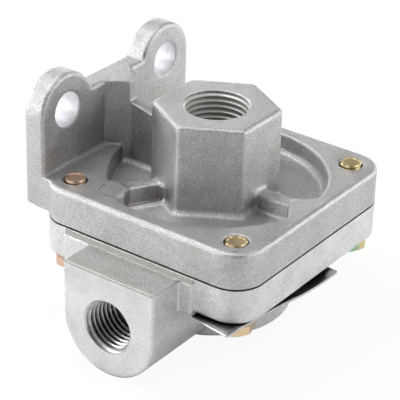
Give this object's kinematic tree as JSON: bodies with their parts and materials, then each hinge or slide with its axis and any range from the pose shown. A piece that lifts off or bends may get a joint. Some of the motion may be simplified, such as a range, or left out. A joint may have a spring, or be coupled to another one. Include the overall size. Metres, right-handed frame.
{
  "type": "quick exhaust valve",
  "caption": "Cast quick exhaust valve: hexagonal supply port on top, delivery port on each side, round exhaust below, mounting wall with two bolt holes.",
  "frame": {"origin": "centre of the supply port's mouth, in the plane of the hexagonal tower's top face", "axes": "+Z out of the supply port, the delivery ports open along -Y and +Y, the mounting face looks along -X"},
  "size_m": [0.0676, 0.0816, 0.0604],
  "materials": {
    "cast_aluminium": "as cast, fine-grained, matt",
    "yellow_zinc_steel": "yellow zinc plated",
    "washer_steel": "zinc plated",
    "tag_sheet": "rolled sheet, satin",
    "spring_steel": "bright drawn wire",
    "black_rubber": "smooth, matt"
  },
  "bodies": {
    "housing": {"cover": "cast_aluminium", "body": "cast_aluminium", "cap_screw_1": "yellow_zinc_steel", "cap_screw_2": "yellow_zinc_steel", "cap_screw_3": "yellow_zinc_steel", "cap_screw_4": "yellow_zinc_steel", "lock_washer_1": "washer_steel", "lock_washer_2": "washer_steel", "lock_washer_3": "washer_steel", "lock_washer_4": "washer_steel", "tag_plate": "tag_sheet", "spring": "spring_steel", "seal_ring": "black_rubber"},
    "shuttle": {"diaphragm": "black_rubber", "spring_seat": "washer_steel"}
  },
  "joints": [
    {"name": "diaphragm_slide", "type": "slide", "parent": "housing", "child": "shuttle", "axis": [0, 0, -1], "range_m": [0, 0.0025], "stiffness_N_per_m": 500, "springref_m": -0.003, "deforming": ["spring"]}
  ]
}
